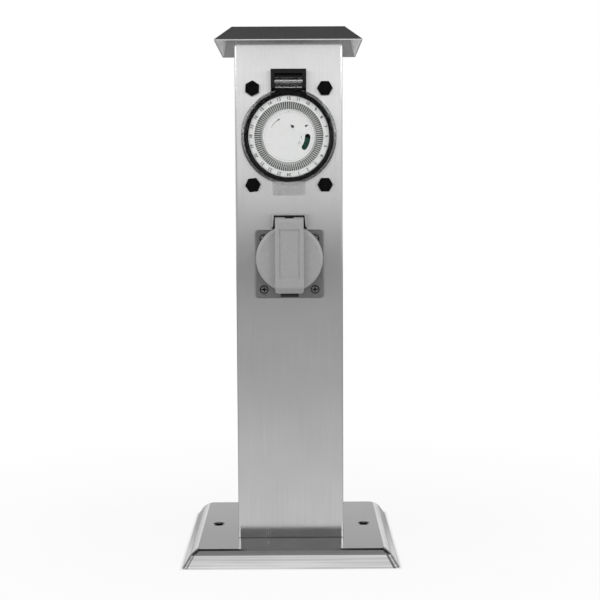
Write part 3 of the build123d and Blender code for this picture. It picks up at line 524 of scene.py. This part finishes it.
# Each finish and the nodes that wear it
finishes = {
    brushed_steel(
        "column_steel", steel_dark, steel_light, 0.22, 0.27, upright_lines, stretch=0.9, seam=foot_height
    ): ["column"],
    brushed_steel(
        "inner_steel", steel_dark, steel_light, 0.30, 0.36, upright_lines
    ): ["foot_plate", "roof_collar", "terminal_bracket"],
    brushed_steel(
        "base_steel", steel_dark, steel_light, 0.12, 0.18, crosswise_lines, lengthwise_lines, tone=skirt_tone
    ): ["base_plate"],
    brushed_steel(
        "roof_steel", grey(0.56), grey(0.62), 0.16, 0.24, crosswise_lines, lengthwise_lines
    ): ["roof_cap"],
    plated(
        "zinc_plate", (0.42, 0.42, 0.41), (0.74, 0.74, 0.72), 0.22
    ): ["foot_screws", "roof_screws", "terminal_screws", "timer_nuts", "socket_nuts", "contact_screws"],
    plated(
        "dull_zinc", grey(0.04), (0.40, 0.40, 0.39), 0.14, tone=screw_recess_tone
    ): ["socket_screws"],
    plated(
        "bright_pin", grey(0.60), (0.85, 0.85, 0.84), 0.20
    ): ["cover_hinge_pin"],
    # Lid pin and spring near-black: painted shade of the hinge gap they sit in
    plated(
        "dark_shaded_pin", grey(0.02), grey(0.05), 0.30
    ): ["lid_pin", "lid_spring"],
    plated(
        "bright_brass", (0.45, 0.31, 0.13), (0.78, 0.60, 0.32), 0.20
    ): ["drive_pinion", "timer_terminals", "earth_contact", "line_contact", "neutral_contact"],
    plated(
        "motor_can", (0.40, 0.41, 0.42), (0.62, 0.63, 0.64), 0.30
    ): ["timer_motor"],
    moulded(
        "bolt_black", grey(0.002), grey(0.005), 0.30, 1500.0, 0.02 * MM, grey(0.02), shine=0.04
    ): ["timer_bolts"],
    moulded(
        "gloss_black", grey(0.002), grey(0.004), 0.12, 1200.0, 0.004 * MM, grey(0.02), shine=0.15
    ): [
        "timer_bezel", "timer_housing", "cover_hinge_bracket", "timer_back_cover", "movement_plate",
        "micro_switch", "trip_slide",
    ],
    moulded(
        "face_white", paint_white, paint_fleck, 0.40, 2600.0, 0.004 * MM
    ): ["face_disc", "terminal_block"],
    make_dial_white(): ["dial_ring"],
    make_tappet_plastic(): ["dial_tappets", "tappet_1", "tappet_2", "tappet_3", "tappet_4"],
    moulded(
        "slider_green", (0.001, 0.034, 0.022), (0.002, 0.048, 0.030), 0.28, 2000.0, 0.005 * MM,
        (0.01, 0.08, 0.055), shine=0.3
    ): ["override_slider"],
    # Lid's pale edges are partly a painted highlight on its rim
    moulded(
        "lid_grey", grey(0.315), grey(0.345), 0.44, 2200.0, 0.012 * MM, grey(0.72)
    ): ["socket_lid"],
    moulded(
        "housing_grey", housing_dark, housing_light, 0.40, 2200.0, 0.012 * MM, grey(0.30)
    ): ["socket_well", "socket_insert", "contact_carrier"],
    moulded(
        "framed_grey", housing_dark, housing_light, 0.40, 2200.0, 0.012 * MM, grey(0.30),
        tone=hinge_frame_tone
    ): ["socket_housing"],
    moulded(
        "seal_black", grey(0.018), grey(0.030), 0.62, 1800.0, 0.01 * MM
    ): ["cable_grommet", "timer_gasket", "socket_gasket", "lid_seal"],
    make_clear_cover(): ["timer_cover"],
}
for finish, dressed in finishes.items():
    for node_name in dressed:
        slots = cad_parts[node_name].data.materials
        slots.clear()
        slots.append(finish)

dial_ink = make_ink("dial_ink", grey(0.012))
face_ink = make_ink("face_ink", (0.015, 0.015, 0.016))


def new_piece(name, points, faces, material, body):
    """A mesh piece from its points and faces, in its finish and riding on a body."""
    mesh = bpy.data.meshes.new(name)
    mesh.from_pydata(points.tolist(), [], faces)
    mesh.update()
    mesh.materials.append(material)
    piece = bpy.data.objects.new(name, mesh)
    bpy.context.scene.collection.objects.link(piece)
    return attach(piece, body)


def on_face(flat, depth_y):
    """Points drawn in X and height about the dial's centre, laid just in front of the plane at depth_y."""
    lift = np.full(len(flat), depth_y - ink_gap)
    return np.column_stack([flat[:, 0], lift, flat[:, 1] + dial_height])


def turned(flat, degrees):
    """Flat points turned about the centre, counter-clockwise."""
    angle = math.radians(degrees)
    turn = np.array([[math.cos(angle), math.sin(angle)], [-math.sin(angle), math.cos(angle)]])
    return flat @ turn


def flat_text(body, height):
    """Flat points and faces of a word set about its own middle."""
    capital_share = 0.72
    boldness = 0.03
    curve = bpy.data.curves.new("word", "FONT")
    curve.body = body
    curve.size = height / capital_share
    curve.align_x = "CENTER"
    curve.align_y = "CENTER"
    curve.resolution_u = 3
    curve.offset = height * boldness
    word = bpy.data.objects.new("word", curve)
    bpy.context.scene.collection.objects.link(word)
    bpy.context.view_layer.update()
    mesh = bpy.data.meshes.new_from_object(word)
    points = np.zeros(len(mesh.vertices) * 3)
    mesh.vertices.foreach_get("co", points)
    faces = [tuple(polygon.vertices) for polygon in mesh.polygons]
    bpy.data.objects.remove(word)
    bpy.data.meshes.remove(mesh)
    return points.reshape(-1, 3)[:, :2], faces


def joined(shapes):
    """Several flat shapes (points, faces) as one."""
    points, faces, count = [], [], 0
    for flat, shape_faces in shapes:
        points.append(flat)
        faces += [tuple(index + count for index in face) for face in shape_faces]
        count += len(flat)
    return np.concatenate(points), faces


def ribbon(line, widths):
    """A flat ribbon: the line's points moved half the width to each side along its normal."""
    along = np.gradient(line, axis=0)
    along /= np.linalg.norm(along, axis=1)[:, None]
    aside = np.column_stack([-along[:, 1], along[:, 0]]) * np.asarray(widths)[:, None] / 2
    points = np.concatenate([line + aside, line - aside])
    count = len(line)
    faces = [(i, i + count, i + count + 1, i + 1) for i in range(count - 1)]
    return points, faces


def arc(radius, low, high, count):
    """Points of an arc about the centre, angles in degrees."""
    angles = np.radians(np.linspace(low, high, count))
    return np.column_stack([radius * np.cos(angles), radius * np.sin(angles)])


def stroke(start, end, width):
    """A straight ribbon from one point to another."""
    return ribbon(np.array([start, end]), [width] * 2)


def round_line(centre, radius, width, count):
    """A round ribbon about a centre, through count points."""
    return ribbon(arc(radius, 0, 360, count) + centre, np.full(count, width))


def droplet(centre, radius, tip):
    """A round mark drawn out to a tip: radius, plus the tip's distance times a narrow bump towards it."""
    count = 48
    bump_angle = 0.32
    towards = tip - centre
    angles = np.linspace(-math.pi, math.pi, count, endpoint=False)
    reach = radius + (np.linalg.norm(towards) - radius) * np.exp(-(angles / bump_angle) ** 2)
    shape = np.column_stack([reach * np.cos(angles), reach * np.sin(angles)])
    degrees = math.degrees(math.atan2(towards[1], towards[0]))
    return turned(shape, degrees) + centre, [tuple(range(count))]


# Hour numbers, which grow against the clock because the dial turns with it
hour_words = []
for hour in range(1, hour_count + 1):
    flat, faces = flat_text(str(hour), hour_height)
    away = (hour - hour_at_top) * 360.0 / hour_count
    hour_words.append((turned(flat + np.array([0.0, hour_radius]), away), faces))
points, faces = joined(hour_words)
new_piece("hour_numbers", on_face(points, dial_face_y), faces, dial_ink, "dial")

# Places of the marks on the still face, from the dial's middle
arrow_radius = 14.4 * MM
arrow_start, arrow_neck, arrow_end = 155, 123, 115
clock_centre = np.array([7.7, -4.8]) * MM
clock_radius = 0.85 * MM
clock_line = 0.14 * MM
minute_end = clock_centre + np.array([0.0, 0.62]) * MM
hour_end = clock_centre + np.array([0.45, 0.0]) * MM
bar_top = np.array([9.3, 0.5]) * MM
bar_foot = np.array([9.3, -1.6]) * MM
dot_centre = np.array([-0.2, 18.2]) * MM
pointer_centre = np.array([2.9, 7.2]) * MM
pointer_tip = np.array([1.3, 8.5]) * MM
flag_centre = np.array([12.7, 7.6]) * MM
flag_tip = np.array([14.3, 8.5]) * MM
edge_line_radius = 17.7 * MM

# Marks on the still face: turning arrow, clock, on bar, dot, pointer, switch flag and a line round them
neck_point, end_point = arc(arrow_radius, arrow_neck, arrow_end, 2)
face_marks = [
    ribbon(arc(arrow_radius, arrow_start, arrow_neck, 24), np.linspace(0.15, 0.5, 24) * MM),
    ribbon(np.linspace(neck_point, end_point, 6), np.linspace(1.4, 0.05, 6) * MM),
    round_line(clock_centre, clock_radius, 0.16 * MM, 33),
    stroke(minute_end, clock_centre, clock_line),
    stroke(clock_centre, hour_end, clock_line),
    stroke(bar_top, bar_foot, 0.35 * MM),
    round_line(dot_centre, 0.16 * MM, 0.3 * MM, 17),
    droplet(pointer_centre, 1.1 * MM, pointer_tip),
    droplet(flag_centre, 0.8 * MM, flag_tip),
    round_line(np.zeros(2), edge_line_radius, 0.07 * MM, 97),
]
points, faces = joined(face_marks)
new_piece("face_marks", on_face(points, still_face_y), faces, face_ink, "post")

# Studio floor, the shadow kept on it, and its levels in mirrors, from the post at 0 to its edge at 1
floor_half = 4.0
floor_drop = 0.1 * MM
shadow_start = 0.12
shadow_end = 0.45
shadow_share = 0.10
mirrored_share = 0.75
floor_levels = [
    (0.0, 0.95), (0.06, 0.92), (0.18, 0.64), (0.30, 0.48), (0.58, 0.64), (0.70, 0.36), (0.82, 0.06),
    (1.0, 0.06),
]

# Levels of the surroundings, from straight down at 0 through level at 0.5 to straight up at 1
courses = {
    "front": [
        (0.0, 0.30), (0.472, 0.10), (0.486, 0.20), (0.495, 1.05), (0.53, 1.34), (0.565, 1.46), (0.585, 0.80),
        (0.605, 0.04), (0.66, 0.04), (0.70, 0.14), (0.80, 0.08), (0.88, 0.04), (0.94, 0.30), (1.0, 0.34),
    ],
    "right": [
        (0.0, 0.60), (0.46, 0.80), (0.58, 1.00), (0.62, 1.30), (0.85, 1.30), (0.96, 0.50), (1.0, 0.34),
    ],
    "left": [
        (0.0, 0.40), (0.46, 0.60), (0.58, 0.70), (0.62, 1.10), (0.85, 1.10), (0.96, 0.40), (1.0, 0.34),
    ],
    "back": [
        (0.0, 0.60), (0.46, 0.95), (0.56, 1.0), (0.64, 0.50), (0.74, 0.36), (0.83, 0.12), (0.89, 0.015),
        (1.0, 0.015),
    ],
}
side_start = 0.42
side_end = 0.68
back_end = 0.35

# Dark spot that the cover mirrors: its angle above level, and the angles that its soft edge lies between
spot_rise = math.radians(2.8)
spot_inner = math.radians(3.2)
spot_outer = math.radians(4.6)


def make_floor_white():
    """White paper floor: the camera sees it white, with a soft shadow kept near the post.

    The steel sees it bright near the post and greyer further off, and half as bright behind the post, as a
    painted shadow.
    """
    material, tree, shader, place = new_finish("floor_white")
    cloud = noise(tree, place, 6.0, detail=3.0)
    paper = mixed(tree, cloud, grey(0.78), grey(0.82))
    feed(tree, shader, {"Base Color": paper, "Roughness": 0.9, "Specular IOR Level": 0.0})
    distance = vector_maths(tree, "LENGTH", place)
    off_square = maths(tree, "MAXIMUM", maths(tree, "ABSOLUTE", along_axis(tree, place, "X")),
                       maths(tree, "ABSOLUTE", along_axis(tree, place, "Y")))
    uncovered = past(tree, off_square, base_half - 2 * MM, 4 * MM)
    paths = tree.nodes.new("ShaderNodeLightPath").outputs
    seen = paths["Is Camera Ray"]
    level = graded(tree, maths(tree, "DIVIDE", distance, floor_half), floor_levels)
    # Painted shadow: the mirrored glow drops to half behind the post
    mirrored = vector_maths(tree, "MULTIPLY", level,
                            spread(tree, along_axis(tree, place, "Y"), -0.03, 0.05, 1.0, 0.5))
    glow = add_node(tree, "ShaderNodeEmission", {"Color": mixed(tree, seen, mirrored, grey(1.0))})
    glowing = spread(tree, distance, shadow_start, shadow_end, 1.0 - shadow_share, 1.0)
    share = maths(tree, "MAXIMUM", product(tree, seen, glowing),
                  product(tree, paths["Is Glossy Ray"], mirrored_share))
    share = product(tree, uncovered, share)
    share_surface(tree, share, shader.outputs["BSDF"], glow.outputs["Emission"])
    return material


def make_studio_world():
    """Surroundings whose brightness goes with height, in courses for the front, both sides and the back.

    The clear cover mirrors a dark spot where a camera would stand, and what looks past the post sees white.
    """
    world = bpy.data.worlds.new("studio")
    world.use_nodes = True
    tree = world.node_tree
    tree.nodes.clear()
    way = tree.nodes.new("ShaderNodeTexCoord").outputs["Generated"]
    sideways = along_axis(tree, way, "X")
    height = spread(tree, along_axis(tree, way, "Z"), -1.0, 1.0)
    levels = {side: graded(tree, height, stops) for side, stops in courses.items()}
    to_right = spread(tree, sideways, side_start, side_end)
    to_left = spread(tree, sideways, -side_end, -side_start, 1.0, 0.0)
    behind = spread(tree, along_axis(tree, way, "Y"), 0.0, back_end)
    around = mixed(tree, to_right, levels["front"], levels["right"])
    around = mixed(tree, to_left, around, levels["left"])
    around = mixed(tree, behind, around, levels["back"])
    spot_way = (0.0, -math.cos(spot_rise), math.sin(spot_rise))
    facing = vector_maths(tree, "DOT_PRODUCT", way, spot_way)
    near_spot = spread(tree, facing, math.cos(spot_outer), math.cos(spot_inner))
    paths = tree.nodes.new("ShaderNodeLightPath").outputs
    by_cover = maths(tree, "ADD", paths["Is Singular Ray"], paths["Transmission Depth"], clamp=True)
    around = mixed(tree, product(tree, near_spot, by_cover), around, grey(0.02))
    bounces = maths(tree, "ADD", paths["Glossy Depth"], paths["Diffuse Depth"])
    straight = maths(tree, "SUBTRACT", paths["Is Transmission Ray"], bounces, clamp=True)
    shown = mixed(tree, maths(tree, "MAXIMUM", paths["Is Camera Ray"], straight), around, grey(1.0))
    background = add_node(tree, "ShaderNodeBackground", {"Color": shown, "Strength": 1.0})
    add_node(tree, "ShaderNodeOutputWorld", {"Surface": background.outputs["Background"]})
    return world


floor_corners = [
    (x * floor_half, y * floor_half, -floor_drop) for x, y in ((-1, -1), (1, -1), (1, 1), (-1, 1))
]
floor_mesh = bpy.data.meshes.new("studio_floor")
floor_mesh.from_pydata(floor_corners, [], [(0, 1, 2, 3)])
floor_mesh.materials.append(make_floor_white())
studio_floor = bpy.data.objects.new("studio_floor", floor_mesh)
bpy.context.scene.collection.objects.link(studio_floor)

scene = bpy.context.scene
scene.world = make_studio_world()
scene.view_settings.view_transform = "Standard"


lamp_target = Vector((0.0, 0.0, 0.20))


def add_softbox(name, place, width, watts):
    """A square area lamp at a place, turned to the middle of the post."""
    lamp = bpy.data.lights.new(name, "AREA")
    lamp.shape = "SQUARE"
    lamp.size = width
    lamp.energy = watts
    holder = bpy.data.objects.new(name, lamp)
    holder.location = place
    holder.rotation_euler = (lamp_target - Vector(place)).to_track_quat("-Z", "Y").to_euler()
    scene.collection.objects.link(holder)


# Softboxes in front and at both sides
add_softbox("front_softbox", (-0.30, -1.70, 1.60), 1.6, 9.0)
for name, x in (("left_softbox", -1.5), ("right_softbox", 1.5)):
    add_softbox(name, (x, -0.90, 1.00), 1.0, 10.5)

# Camera at the photograph's place
camera_place = Vector((4.69, -941.96, 269.24)) * MM
camera_yaw = math.radians(0.191)
camera_pitch = math.radians(4.781)
camera_roll = math.radians(-0.279)
camera_lens = 72.384
ahead = Vector((
    math.sin(camera_yaw) * math.cos(camera_pitch), math.cos(camera_yaw) * math.cos(camera_pitch),
    -math.sin(camera_pitch),
))
level_right = ahead.cross(Vector((0, 0, 1))).normalized()
level_up = level_right.cross(ahead)
right = level_right * math.cos(camera_roll) + level_up * math.sin(camera_roll)
up = right.cross(ahead)
camera_data = bpy.data.cameras.new("photo_camera")
camera_data.sensor_width = 36.0
camera_data.lens = camera_lens
camera_data.clip_start = 0.01
camera_data.clip_end = 50.0
camera = bpy.data.objects.new("photo_camera", camera_data)
camera.matrix_world = Matrix.Translation(camera_place) @ Matrix((right, up, -ahead)).transposed().to_4x4()
scene.collection.objects.link(camera)
scene.camera = camera
